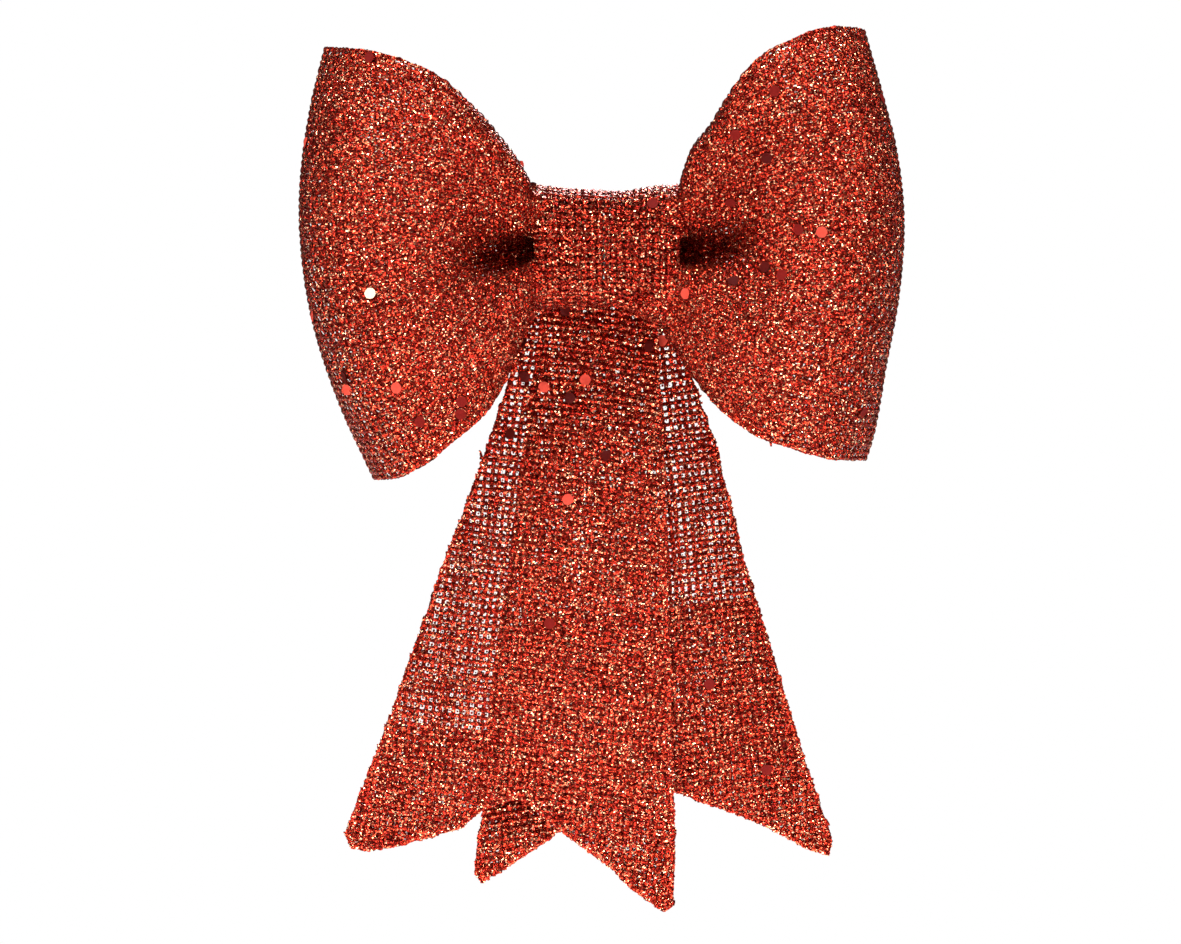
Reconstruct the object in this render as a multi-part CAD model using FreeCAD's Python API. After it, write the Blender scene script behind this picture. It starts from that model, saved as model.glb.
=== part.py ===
import FreeCAD, Part
import math
import os

# Pre-made gift bow of stiff net ribbon: two loops, a knot band and two swallow-tailed tails.
# Millimetres. +Z is up, +X is to the right as the bow is looked at, and the front faces -Y.
# The origin is the centre of the flat back face of the glue rivet, level with the knot's middle.
# Everything but the twist tie's legs lies in front of the plane y = 0.

V = FreeCAD.Vector

# Driving dimensions
PLY = 1.0              # thickness of one glitter-coated ply of the net ribbon
REAR_TAIL_Y = -3.4     # middle plane of the right tail, which hangs at the back
FRONT_TAIL_Y = -8.0    # middle plane of the left tail, which hangs in front of it
BAND_BACK_Y = -11.5    # back of the knot band's overlap
BAND_WIDTH = 38.0
BAND_DEPTH = 26.0
BAND_WALL = 1.2
OVERLAP_HEIGHT = 12.0  # how far the band's two ends lie over each other
RIVET_RADIUS = 3.0
RIVET_HOLE_RADIUS = 3.4
PAD_RADIUS = 9.0
PAD_THICKNESS = 1.6
WAIST_HALF_DEPTH = 5.0
WAIST_HALF_HEIGHT = 8.0
NECK_HALF_HEIGHT = 12.5  # of the loops where they leave the band
WIRE_RADIUS = 0.4
TIE_WIDTH = 4.0
TIE_THICKNESS = 1.0
TIE_HEIGHT = 4.0       # height of the tie's middle line above the origin
TIE_HALF_SPAN = 20.5   # from the middle to the line of either leg
TIE_BEND_RADIUS = 1.6
TIE_CORE_RADIUS = 0.3
TIE_LEG_LENGTH = 50.0
TIE_HINGE_Y = 1.7      # where a leg bends, just behind the back plane
TIE_HINGE_GAP = 0.4

BAND_FRONT_Y = BAND_BACK_Y - BAND_DEPTH
BAND_RING_BACK_Y = BAND_BACK_Y - PLY
WAIST_Y = -26.0
TIE_SADDLE_Y = BAND_RING_BACK_Y - BAND_WALL - 0.7 - TIE_THICKNESS / 2

# Plan of one loop, from the waist's back round the outer fold to the waist's front:
# (share of the way from the waist to the fold, y).
LOOP_PLAN = [(0.00, WAIST_Y + WAIST_HALF_DEPTH), (0.12, -19.6), (0.24, -17.6), (0.45, -13.2),
             (0.72, -10.6), (0.92, -15.5), (1.00, -31.0), (0.92, -47.5), (0.74, -54.5),
             (0.50, -49.0), (0.25, -32.0), (0.12, -30.6), (0.00, WAIST_Y - WAIST_HALF_DEPTH)]

# Where the outer fold stands at each height, (z, distance from the middle).
LEFT_FOLD = [(-64.0, 61.0), (-42.0, 70.4), (-19.0, 77.9), (11.0, 81.5), (39.0, 78.0), (56.0, 74.4)]
RIGHT_FOLD = [(-60.0, 68.2), (-31.0, 74.1), (-11.0, 77.6), (8.0, 78.9), (41.0, 72.8), (60.0, 67.4)]

# Upper and lower edge of each loop as seen from the front, (distance from the middle, z).
LEFT_UPPER = [(20.8, 17.0), (25.6, 25.7), (34.6, 36.1), (42.6, 43.0), (55.8, 49.1), (67.8, 52.3), (90.0, 52.5)]
LEFT_LOWER = [(21.4, -20.0), (27.5, -36.6), (31.2, -42.2), (42.6, -52.5), (50.5, -58.4), (60.0, -61.3),
              (90.0, -62.0)]
RIGHT_UPPER = [(20.8, 17.5), (27.5, 32.1), (35.4, 44.0), (42.3, 50.4), (57.2, 57.3), (68.9, 57.8), (90.0, 55.0)]
RIGHT_LOWER = [(21.4, -20.0), (23.5, -32.9), (31.7, -44.8), (38.9, -48.8), (51.6, -53.6), (61.7, -56.0),
               (90.0, -57.0)]

# Half width of the knot band, and the height of its upper and lower edge there: (x, top, bottom).
BAND_EDGES = [(-BAND_WIDTH / 2, 17.0, -15.9), (0.0, 14.9, -15.2), (BAND_WIDTH / 2, 17.0, -18.6)]

# Each tail is cut tapered: its two side edges from the top down, and the V cut between its tips.
LEFT_TAIL = {
    "left": [(-11.0, 8.0), (-22.7, -24.9), (-44.7, -87.3), (-69.9, -157.1)],
    "cut": [(-69.9, -157.1), (-63.3, -161.3), (-23.2, -146.7), (15.8, -177.7), (17.9, -175.9)],
    "right": [(17.9, -175.9), (17.4, -120.2), (15.3, -50.7), (12.2, 8.0)],
}
RIGHT_TAIL = {
    "left": [(-13.5, 8.0), (-21.1, -48.6), (-29.1, -106.9), (-35.4, -167.1)],
    "cut": [(-35.4, -167.1), (-33.3, -170.1), (8.9, -141.4), (59.6, -162.6), (60.6, -158.4)],
    "right": [(60.6, -158.4), (38.3, -88.3), (22.2, -31.6), (9.5, 8.0)],
}
# The backing of each tail starts at a thread row: (x, z) of a point on the row and its slope.
LEFT_BACKING_ROW = (-58.2, -126.0, -0.13)
RIGHT_BACKING_ROW = (28.0, -95.0, 0.12)


def interpolated_edge(points):
    """A smooth edge through the points."""
    curve = Part.BSplineCurve()
    curve.interpolate(points)
    return curve.toShape()


def line_edges(points):
    """Straight edges from each point to the next."""
    return [Part.makeLine(a, b) for a, b in zip(points, points[1:])]


def front_points(pairs, side=1.0, y=0.0):
    """Points in a plane that faces the front; side -1 mirrors them to the left."""
    return [V(side * x, y, z) for x, z in pairs]


def y_prism(edges, depth):
    """The prism that a closed outline makes over a depth along +Y."""
    return Part.Face(Part.Wire(edges)).extrude(V(0, depth, 0))


def fold_distance(fold, z):
    """Distance of a loop's outer fold from the middle at a height, between the stated heights."""
    for (z0, d0), (z1, d1) in zip(fold, fold[1:]):
        if z <= z1:
            return d0 + (d1 - d0) * (z - z0) / (z1 - z0)
    return fold[-1][1]


def inset_points(points, inset):
    """Points of an open plan curve moved square to it, to its inner side."""
    moved = []
    for i, point in enumerate(points):
        before = points[max(i - 1, 0)]
        after = points[min(i + 1, len(points) - 1)]
        along = (after - before).normalize()
        moved.append(point + V(along.y, -along.x, 0) * inset)
    return moved


def loop_section(fold, z, side, inset):
    """Closed plan wire of a loop at one height, drawn on the right and mirrored for the left."""
    reach = fold_distance(fold, z)
    points = [V(share * reach, y, z) for share, y in LOOP_PLAN]
    if inset:
        points = inset_points(points, inset)[1:-1]
    points = [V(side * p.x, p.y, p.z) for p in points]
    return Part.Wire([interpolated_edge(points), Part.makeLine(points[-1], points[0])])


def loop_wall(fold, upper, lower, side):
    """One loop, open at top and bottom; its gathered neck fills the band."""
    heights = [z for z, _ in fold]
    outer = Part.makeLoft([loop_section(fold, z, side, 0) for z in heights], True)
    inner = Part.makeLoft([loop_section(fold, z, side, PLY) for z in heights], True)
    mouth = BAND_WIDTH / 2
    hollow = Part.makeBox(200, 100, 300, V(mouth if side > 0 else -200 - mouth, -100, -150))
    neck = mouth + 0.5
    outline = front_points(upper, side)
    under = front_points(lower, side)
    edges = [interpolated_edge(outline), interpolated_edge(under)]
    edges += line_edges([outline[-1], under[-1]])
    edges += line_edges(front_points([(upper[0][0], upper[0][1]), (neck, NECK_HALF_HEIGHT), (6.0, WAIST_HALF_HEIGHT),
                                      (0.0, WAIST_HALF_HEIGHT), (0.0, -WAIST_HALF_HEIGHT),
                                      (6.0, -WAIST_HALF_HEIGHT), (neck, -NECK_HALF_HEIGHT),
                                      (lower[0][0], lower[0][1])], side))
    prism = Part.Face(Part.Wire(Part.__sortEdges__(edges))).extrude(V(0, -100, 0))
    return outer.cut(inner.common(hollow)).common(prism)


def loop_ribbon():
    """One strip folded into the left and the right loop, pinched where they meet."""
    left = loop_wall(LEFT_FOLD, LEFT_UPPER, LEFT_LOWER, -1.0)
    right = loop_wall(RIGHT_FOLD, RIGHT_UPPER, RIGHT_LOWER, 1.0)
    return left.fuse(right).removeSplitter()


def band_section(x, top, bottom, inset):
    """Closed outline of the knot band in a plane square to X: flat back, bulging front."""
    back = BAND_RING_BACK_Y - inset
    front = BAND_FRONT_Y + inset
    high = top - inset
    low = bottom + inset
    corner = 5.0 - inset
    shoulder = front + 6.0
    q = corner * (1 - math.sqrt(0.5))
    upper_back = Part.Arc(V(x, back, high - corner), V(x, back - q, high - q), V(x, back - corner, high))
    lower_back = Part.Arc(V(x, back - corner, low), V(x, back - q, low + q), V(x, back, low + corner))
    nose = Part.BSplineCurve()
    nose.interpolate([V(x, shoulder, high), V(x, front + 1.6, high - 5.5), V(x, front, (high + low) / 2 + 2.0),
                      V(x, front + 1.4, low + 6.0), V(x, shoulder, low)])
    return Part.Wire([upper_back.toShape(), Part.makeLine(V(x, back - corner, high), V(x, shoulder, high)),
                      nose.toShape(), Part.makeLine(V(x, shoulder, low), V(x, back - corner, low)),
                      lower_back.toShape(), Part.makeLine(V(x, back, low + corner), V(x, back, high - corner))])


def knot_band():
    """Narrow strip wrapped round the waist; its ends lie over each other at the back."""
    outer = Part.makeLoft([band_section(x, top, bottom, 0) for x, top, bottom in BAND_EDGES], True)
    inner = Part.makeLoft([band_section(x, top, bottom, BAND_WALL) for x, top, bottom in BAND_EDGES], True)
    overlap = Part.makeBox(BAND_WIDTH - 2, PLY, OVERLAP_HEIGHT,
                           V(1 - BAND_WIDTH / 2, BAND_RING_BACK_Y, -OVERLAP_HEIGHT / 2))
    return outer.cut(inner).fuse(overlap).removeSplitter()


def band_glue():
    """Bead of hot-melt glue along the free end of the band's overlap."""
    radius = 0.9
    bead = Part.makeCylinder(radius, BAND_WIDTH - 6, V(3 - BAND_WIDTH / 2, BAND_RING_BACK_Y, 0), V(1, 0, 0))
    bead = bead.common(Part.makeBox(BAND_WIDTH, 5, 5, V(-BAND_WIDTH / 2, BAND_RING_BACK_Y, -2.5)))
    bead.translate(V(0, 0, -OVERLAP_HEIGHT / 2 - radius))
    return bead


def waist_wire():
    """Two turns of soft wire round the waist, with the ends twisted together on top."""
    clear = 0.6
    half_y = WAIST_HALF_DEPTH + clear + WIRE_RADIUS
    half_z = WAIST_HALF_HEIGHT + clear + WIRE_RADIUS
    corner = 1.6
    turns = []
    for x in (-1.2 * WIRE_RADIUS, 1.2 * WIRE_RADIUS):
        outer = rounded_ring_face(half_y + WIRE_RADIUS, half_z + WIRE_RADIUS, corner + WIRE_RADIUS)
        inner = rounded_ring_face(half_y - WIRE_RADIUS, half_z - WIRE_RADIUS, corner - WIRE_RADIUS)
        turn = outer.cut(inner).extrude(V(2 * WIRE_RADIUS, 0, 0))
        turn.translate(V(x - WIRE_RADIUS, WAIST_Y, 0))
        turns.append(turn)
    twist = Part.makeCylinder(0.9, 3.2, V(0, WAIST_Y, half_z - WIRE_RADIUS / 2), V(0, 0, 1))
    return turns[0].fuse([turns[1], twist]).removeSplitter()


def rounded_ring_face(half_y, half_z, corner):
    """Face of a rounded rectangle in the plane x = 0, centred on the X axis."""
    points = []
    for sy, sz, start in ((1, 1, 0), (-1, 1, 90), (-1, -1, 180), (1, -1, 270)):
        for step in (0, 45, 90):
            angle = math.radians(start + step)
            points.append(V(0, sy * (half_y - corner) + corner * math.cos(angle),
                            sz * (half_z - corner) + corner * math.sin(angle)))
    edges = []
    for i in range(0, 12, 3):
        edges.append(Part.Arc(points[i], points[i + 1], points[i + 2]).toShape())
        edges.append(Part.makeLine(points[i + 2], points[(i + 3) % 12]))
    return Part.Face(Part.Wire(edges))


def tail_prism(outline, front, depth):
    """Plate with a tail's outline, from a plane y = front backwards."""
    left = front_points(outline["left"], 1.0, front)
    cut = front_points(outline["cut"], 1.0, front)
    right = front_points(outline["right"], 1.0, front)
    edges = [interpolated_edge(left)] + line_edges(cut) + [interpolated_edge(right)]
    edges += line_edges([right[-1], left[0]])
    return y_prism(edges, depth)


def tail(outline, middle):
    """One tail, with the hole that the glue rivet passes through."""
    plate = tail_prism(outline, middle - PLY / 2, PLY)
    return plate.cut(Part.makeCylinder(RIVET_HOLE_RADIUS, 20, V(0, -20, 0), V(0, 1, 0)))


def backing(outline, middle, row):
    """Second ply behind a tail's lower end, from a slanted thread row down to the V cut."""
    x, z, slope = row
    reach = 120.0
    below = line_edges(front_points([(x - reach, z - slope * reach), (x + reach, z + slope * reach),
                                     (x + reach, -300.0), (x - reach, -300.0), (x - reach, z - slope * reach)],
                                    1.0, -50.0))
    plate = tail_prism(outline, middle + PLY / 2, PLY)
    return plate.common(y_prism(below, 100.0))


def tail_glue_rivet():
    """Hot-melt glue pressed through the net of both tails' tops, with a flat pad behind them."""
    shank = Part.makeCylinder(RIVET_RADIUS, -BAND_BACK_Y, V(0, BAND_BACK_Y, 0), V(0, 1, 0))
    foot = Part.makeCone(5.5, RIVET_RADIUS, 1.4, V(0, BAND_BACK_Y, 0), V(0, 1, 0))
    pad = Part.makeCylinder(PAD_RADIUS, PAD_THICKNESS, V(0, -PAD_THICKNESS, 0), V(0, 1, 0))
    return shank.fuse([foot, pad]).removeSplitter()


def tie_path(half_span, front, back, radius):
    """Edges of a U seen from above: back along one leg's line, across the front and back again."""
    q = radius * (1 - math.sqrt(0.5))
    z = TIE_HEIGHT
    left_turn = Part.Arc(V(-half_span, front + radius, z), V(-half_span + q, front + q, z),
                         V(-half_span + radius, front, z))
    right_turn = Part.Arc(V(half_span - radius, front, z), V(half_span - q, front + q, z),
                          V(half_span, front + radius, z))
    return [Part.makeLine(V(-half_span, back, z), V(-half_span, front + radius, z)), left_turn.toShape(),
            Part.makeLine(V(-half_span + radius, front, z), V(half_span - radius, front, z)),
            right_turn.toShape(), Part.makeLine(V(half_span, front + radius, z), V(half_span, back, z))]


def tie_saddle_parts():
    """Middle of the twist tie, threaded through the band: the plastic strip and its steel core."""
    back = TIE_HINGE_Y - TIE_THICKNESS / 2 - TIE_HINGE_GAP
    half = TIE_THICKNESS / 2
    outer = tie_path(TIE_HALF_SPAN + half, TIE_SADDLE_Y - half, back, TIE_BEND_RADIUS + half)
    inner = tie_path(TIE_HALF_SPAN - half, TIE_SADDLE_Y + half, back, TIE_BEND_RADIUS - half)
    z = TIE_HEIGHT
    ends = [Part.makeLine(V(s * (TIE_HALF_SPAN - half), back, z), V(s * (TIE_HALF_SPAN + half), back, z))
            for s in (-1, 1)]
    outline = Part.Wire(Part.__sortEdges__(outer + inner + ends))
    strip = Part.Face(outline).extrude(V(0, 0, TIE_WIDTH))
    strip.translate(V(0, 0, -TIE_WIDTH / 2))
    middle = tie_path(TIE_HALF_SPAN, TIE_SADDLE_Y, back, TIE_BEND_RADIUS)
    ring = Part.Wire([Part.makeCircle(TIE_CORE_RADIUS, V(-TIE_HALF_SPAN, back, z), V(0, 1, 0))])
    core = Part.Wire(middle).makePipeShell([ring], True, True)
    return strip.cut(core), core


def tie_leg_parts(side):
    """One free leg of the twist tie, straight back from its bend: the strip and its core."""
    half = TIE_THICKNESS / 2
    x = side * TIE_HALF_SPAN
    low = TIE_HEIGHT - TIE_WIDTH / 2
    strip = Part.makeBox(TIE_THICKNESS, TIE_LEG_LENGTH, TIE_WIDTH, V(x - half, TIE_HINGE_Y, low))
    bend = Part.makeCylinder(half, TIE_WIDTH, V(x, TIE_HINGE_Y, low), V(0, 0, 1))
    tip = Part.makeCylinder(half, TIE_WIDTH, V(x, TIE_HINGE_Y + TIE_LEG_LENGTH, low), V(0, 0, 1))
    core = Part.makeCylinder(TIE_CORE_RADIUS, TIE_LEG_LENGTH, V(x, TIE_HINGE_Y, TIE_HEIGHT), V(0, 1, 0))
    return strip.fuse([bend, tip]).removeSplitter().cut(core), core


def main():
    saddle, saddle_wire = tie_saddle_parts()
    left_leg, left_leg_wire = tie_leg_parts(-1)
    right_leg, right_leg_wire = tie_leg_parts(1)
    nodes = {
        "loop_ribbon": loop_ribbon(),
        "knot_band": knot_band(),
        "band_glue": band_glue(),
        "waist_wire": waist_wire(),
        "tail_glue_rivet": tail_glue_rivet(),
        "tie_saddle": saddle,
        "tie_saddle_wire": saddle_wire,
        "left_tail": tail(LEFT_TAIL, FRONT_TAIL_Y),
        "left_tail_backing": backing(LEFT_TAIL, FRONT_TAIL_Y, LEFT_BACKING_ROW),
        "right_tail": tail(RIGHT_TAIL, REAR_TAIL_Y),
        "right_tail_backing": backing(RIGHT_TAIL, REAR_TAIL_Y, RIGHT_BACKING_ROW),
        "left_tie_leg": left_leg,
        "left_tie_leg_wire": left_leg_wire,
        "right_tie_leg": right_leg,
        "right_tie_leg_wire": right_leg_wire,
    }
    os.makedirs("parts", exist_ok=True)
    for name, shape in nodes.items():
        print(name, shape.ShapeType, "solids", len(shape.Solids), "valid", shape.isValid(),
              "volume", round(shape.Volume, 1))
        shape.exportStep(f"parts/{name}.step")


main()
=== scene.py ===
import math

import bpy
import numpy as np
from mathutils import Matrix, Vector


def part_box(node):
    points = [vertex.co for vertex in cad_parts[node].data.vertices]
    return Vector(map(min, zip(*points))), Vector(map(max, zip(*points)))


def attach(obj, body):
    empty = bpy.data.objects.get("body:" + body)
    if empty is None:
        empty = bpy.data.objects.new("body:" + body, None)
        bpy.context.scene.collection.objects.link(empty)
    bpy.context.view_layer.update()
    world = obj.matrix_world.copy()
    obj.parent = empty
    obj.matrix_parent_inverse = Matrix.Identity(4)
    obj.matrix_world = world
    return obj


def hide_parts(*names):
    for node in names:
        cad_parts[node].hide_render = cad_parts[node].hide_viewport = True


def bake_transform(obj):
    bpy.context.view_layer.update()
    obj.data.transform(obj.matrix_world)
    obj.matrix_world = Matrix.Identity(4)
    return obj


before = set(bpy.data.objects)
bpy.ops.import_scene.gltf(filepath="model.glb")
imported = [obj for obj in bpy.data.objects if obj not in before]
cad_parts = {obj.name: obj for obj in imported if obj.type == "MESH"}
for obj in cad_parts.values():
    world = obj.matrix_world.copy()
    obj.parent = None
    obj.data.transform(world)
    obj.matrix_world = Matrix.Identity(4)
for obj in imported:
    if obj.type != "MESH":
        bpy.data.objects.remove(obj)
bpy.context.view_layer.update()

# Looks of a gift bow of stiff, open-weave net ribbon that is coated with red glitter.
# Metres, in the CAD frame: +Z up, the front faces -Y, the origin is on the flat back face.

MM = 0.001

# ---------------------------------------------------------------- driving values

PITCH = 1.9                  # mm, from one thread of the net to the next
FINE = 4                     # surface samples per pitch
THREAD_HALF_WIDTH = 0.60     # mm
THREAD_HALF_THICKNESS = 0.20  # mm
THREAD_SWELL = 0.10          # slow changes of a thread's girth, as a share of it
THREAD_GRAIN = 0.42          # roughness of a thread's glitter coat, as a share of its girth
THREAD_JITTER = 0.05         # sideways wander of a thread, mm
UNEVEN_WEAVE = 0.08          # how far the loops' and the band's threads lie off even spacing, in pitches
WEAVE_LIFT = 0.28            # how far a thread rises where it crosses over another, mm
CLUMP_RADIUS = (0.14, 0.50)  # least and greatest, of the glitter clumps that narrow the net's holes, mm
CLUMP_HALF_HEIGHT = (0.16, 0.12)  # the least, and how much more it can be, mm
CLUMP_SINK = 0.28            # how far they lie behind the net's middle surface, mm
CLUMP_ASTRAY = 0.30          # how far they stray from the middle of a hole, as a share of the pitch
CORE_BEHIND = (0.0, 4.0, 0.0)  # from a net's mean point to one on its inner side, mm
RIBBON_WIDTH = 115.0         # of the loops' ribbon, mm
PLY_GAP = 1.1                # from a tail's ply to the doubled ply behind it, mm
BAND_HALF_WIDTH = 19.0       # mm
HEM = 17.0                   # turned in at each side of the band, mm
FLAKE_RADIUS = 1.5           # of the round confetti flakes, mm

# ---------------------------------------------------------------- curves and surfaces


def smooth_curve(points, count=400):
    """Points evenly spaced along a smooth curve through the given ones."""
    points = np.array(points, float)
    steps = np.linalg.norm(np.diff(points, axis=0), axis=1)
    knots = np.concatenate([[0], np.cumsum(steps)])
    tangents = np.gradient(points, knots, axis=0)
    dense = []
    for i, step in enumerate(steps):
        t = np.linspace(0, 1, 40, endpoint=False)[:, None]
        dense.append((2 * t**3 - 3 * t**2 + 1) * points[i] + (t**3 - 2 * t**2 + t) * step * tangents[i]
                     + (3 * t**2 - 2 * t**3) * points[i + 1] + (t**3 - t**2) * step * tangents[i + 1])
    dense = np.concatenate(dense + [points[-1:]])
    return even_line(dense, count)


def even_line(line, count):
    """The same line with its points evenly spaced."""
    lengths = np.concatenate([[0], np.cumsum(np.linalg.norm(np.diff(line, axis=0), axis=1))])
    even = np.linspace(0, lengths[-1], count)
    return np.stack([np.interp(even, lengths, line[:, k]) for k in range(line.shape[1])], axis=1)


def curve_length(curve):
    """Length of a sampled curve."""
    return float(np.linalg.norm(np.diff(curve, axis=0), axis=1).sum())


def along(curve, share):
    """Points of a sampled curve at shares of its length, in any array shape."""
    places = np.linspace(0, 1, len(curve))
    return np.stack([np.interp(share, places, curve[:, k]) for k in range(curve.shape[1])], axis=-1)


def smoothstep(low, high, x):
    """0 below low, 1 above high, smooth between."""
    t = np.clip((x - low) / (high - low), 0, 1)
    return t * t * (3 - 2 * t)


def coons(a, v, near, far, lower, upper):
    """Points of the patch between four boundary curves: a runs from near to far, v from lower to upper."""
    a3, v3 = a[..., None], v[..., None]
    corners = ((1 - a3) * (1 - v3) * near[0] + (1 - a3) * v3 * near[-1]
               + a3 * (1 - v3) * far[0] + a3 * v3 * far[-1])
    return ((1 - v3) * along(lower, a) + v3 * along(upper, a)
            + (1 - a3) * along(near, v) + a3 * along(far, v) - corners)


def slow_noise(rng, rows, samples, spacing):
    """Smooth noise along each row, with a fresh value every few samples."""
    knots = np.arange(0, samples + spacing, spacing)
    values = rng.standard_normal((rows, len(knots)))
    return np.stack([np.interp(np.arange(samples), knots, row) for row in values])


# ---------------------------------------------------------------- woven net


def surface_frame(points):
    """Unit vectors along the length, along the width and square to the surface, on a grid of points."""
    lengthwise = np.gradient(points, axis=0)
    widthwise = np.gradient(points, axis=1)
    lengthwise /= np.linalg.norm(lengthwise, axis=2, keepdims=True) + 1e-9
    widthwise /= np.linalg.norm(widthwise, axis=2, keepdims=True) + 1e-9
    normal = np.cross(lengthwise, widthwise)
    normal /= np.linalg.norm(normal, axis=2, keepdims=True) + 1e-9
    return lengthwise, widthwise, normal


def thread_tubes(path, side, normal, keep, rng, size=1.0):
    """Vertices and faces of rough tubes along the rows of a (threads, samples, 3) array.

    The tubes are broken where keep is off.
    """
    rows, samples = path.shape[:2]
    swell = size * (1 + THREAD_SWELL * slow_noise(rng, rows, samples, 6))
    grain = swell[..., None] * (1 + THREAD_GRAIN * (rng.random((rows, samples, 4)) - 0.5))
    path = path + side * (THREAD_JITTER * rng.standard_normal((rows, samples, 1)))
    corners = []
    for corner, (wide, tall) in enumerate(((1, 0), (0, 1), (-1, 0), (0, -1))):
        reach = grain[..., corner, None]
        corners.append(path + side * (wide * THREAD_HALF_WIDTH * reach)
                       + normal * (tall * THREAD_HALF_THICKNESS * reach))
    vertices = np.stack(corners, axis=2)
    index = np.arange(rows * samples * 4).reshape(rows, samples, 4)
    turned = np.roll(index, -1, axis=2)
    joined = keep[:, :-1] & keep[:, 1:]
    quads = np.stack([index[:, :-1], turned[:, :-1], turned[:, 1:], index[:, 1:]], axis=-1)[joined]
    before = np.pad(joined, ((0, 0), (1, 0)))
    after = np.pad(joined, ((0, 0), (0, 1)))
    starts = index[after & ~before][:, ::-1]
    ends = index[before & ~after]
    return vertices.reshape(-1, 3), [quads.reshape(-1, 4), np.concatenate([starts, ends])]


def clumps(centres, across, along_, normal, fill, rng):
    """Vertices and faces of small closed lumps of glitter, one per centre.

    The larger fill is, the more of them are big.
    """
    low, high = CLUMP_RADIUS
    radius = low + (high - low) * rng.random((len(centres), 1)) ** (2.2 - 1.9 * fill[:, None])
    turn = rng.random((len(centres), 1)) * math.pi
    u = across * np.cos(turn) + along_ * np.sin(turn)
    w = -across * np.sin(turn) + along_ * np.cos(turn)
    height = CLUMP_HALF_HEIGHT[0] + CLUMP_HALF_HEIGHT[1] * rng.random((len(centres), 1))
    vertices = np.stack([centres + u * radius, centres + w * radius * 0.8,
                         centres - u * radius, centres - w * radius * 0.8,
                         centres + normal * height, centres - normal * height], axis=1)
    faces = []
    for i in range(4):
        faces += [(i, (i + 1) % 4, 4), ((i + 1) % 4, i, 5)]
    index = np.arange(len(centres))[:, None, None] * 6 + np.array(faces)[None]
    return vertices.reshape(-1, 3), [index.reshape(-1, 3)]


def mesh_piece(name, parts, materials, smooth=True, tones=None):
    """A piece from (vertices in mm, face groups) pairs, without the vertices that no face uses.

    Tones pick the faces' materials.
    """
    vertices, groups, shift = [], [], 0
    for points, faces in parts:
        vertices.append(points)
        groups += [group + shift for group in faces if len(group)]
        shift += len(points)
    vertices = np.concatenate(vertices) * MM
    used = np.unique(np.concatenate([g.ravel() for g in groups]))
    renumber = np.full(len(vertices), -1)
    renumber[used] = np.arange(len(used))
    corners = renumber[np.concatenate([g.ravel() for g in groups])]
    totals = np.concatenate([np.full(len(g), g.shape[1]) for g in groups])
    starts = np.concatenate([[0], np.cumsum(totals)[:-1]])
    mesh = bpy.data.meshes.new(name)
    mesh.vertices.add(len(used))
    mesh.vertices.foreach_set("co", vertices[used].astype(np.float32).ravel())
    mesh.loops.add(len(corners))
    mesh.loops.foreach_set("vertex_index", corners.astype(np.int32))
    mesh.polygons.add(len(totals))
    mesh.polygons.foreach_set("loop_start", starts.astype(np.int32))
    mesh.polygons.foreach_set("use_smooth", np.full(len(totals), smooth))
    if tones is not None:
        mesh.polygons.foreach_set("material_index", tones.astype(np.int32))
    mesh.update(calc_edges=True)
    mesh.validate()
    for material in materials:
        mesh.materials.append(material)
    piece = bpy.data.objects.new(name, mesh)
    bpy.context.scene.collection.objects.link(piece)
    return piece


def net_parts(points, keep, seed, fill=None):
    """Threads and glitter clumps of a woven net on a grid of surface points, FINE samples to a pitch.

    Fill says how big the clumps in the holes are: 1 nearly closes them, and below 0 they are small.
    """
    if fill is None:
        fill = np.zeros(points.shape[:2])
    rng = np.random.default_rng(seed)
    lengthwise, widthwise, normal = surface_frame(points)
    rows, columns = points.shape[:2]
    i, j = np.meshgrid(np.arange(rows), np.arange(columns), indexing="ij")
    wave = WEAVE_LIFT * np.cos(math.pi * i / FINE) * np.cos(math.pi * j / FINE)
    raised = points + normal * wave[..., None]
    sunk = points - normal * wave[..., None]
    warp = slice(None), slice(None, None, FINE)
    weft = slice(None, None, FINE), slice(None)
    parts = [thread_tubes(raised[warp].transpose(1, 0, 2), widthwise[warp].transpose(1, 0, 2),
                          normal[warp].transpose(1, 0, 2), keep[warp].T, rng),
             thread_tubes(sunk[weft], lengthwise[weft], normal[weft], keep[weft], rng)]
    middle = slice(FINE // 2, None, FINE), slice(FINE // 2, None, FINE)
    chosen = keep[middle]
    astray = CLUMP_ASTRAY * PITCH * np.clip(1.2 - fill[middle], 0.25, 1)[..., None]
    reach = astray * rng.uniform(-1, 1, (2, *chosen.shape, 1))
    centres = points[middle] + lengthwise[middle] * reach[0] + widthwise[middle] * reach[1]
    from_core = points[middle] - points.mean(axis=(0, 1)) - CORE_BEHIND
    outward = normal[middle] * np.sign((from_core * normal[middle]).sum(axis=-1, keepdims=True))
    centres -= outward * CLUMP_SINK
    parts.append(clumps(centres[chosen], widthwise[middle][chosen], lengthwise[middle][chosen],
                        normal[middle][chosen], fill[middle][chosen], rng))
    return parts


def thread_places(threads, rng):
    """Shares of a ribbon's length or width at FINE samples to a pitch, with slightly uneven threads."""
    even = np.arange(threads + 1) + UNEVEN_WEAVE * rng.standard_normal(threads + 1)
    even[0], even[-1] = 0, threads
    return np.interp(np.arange(threads * FINE + 1) / FINE, np.arange(threads + 1), even) / threads


# ---------------------------------------------------------------- loops

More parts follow.
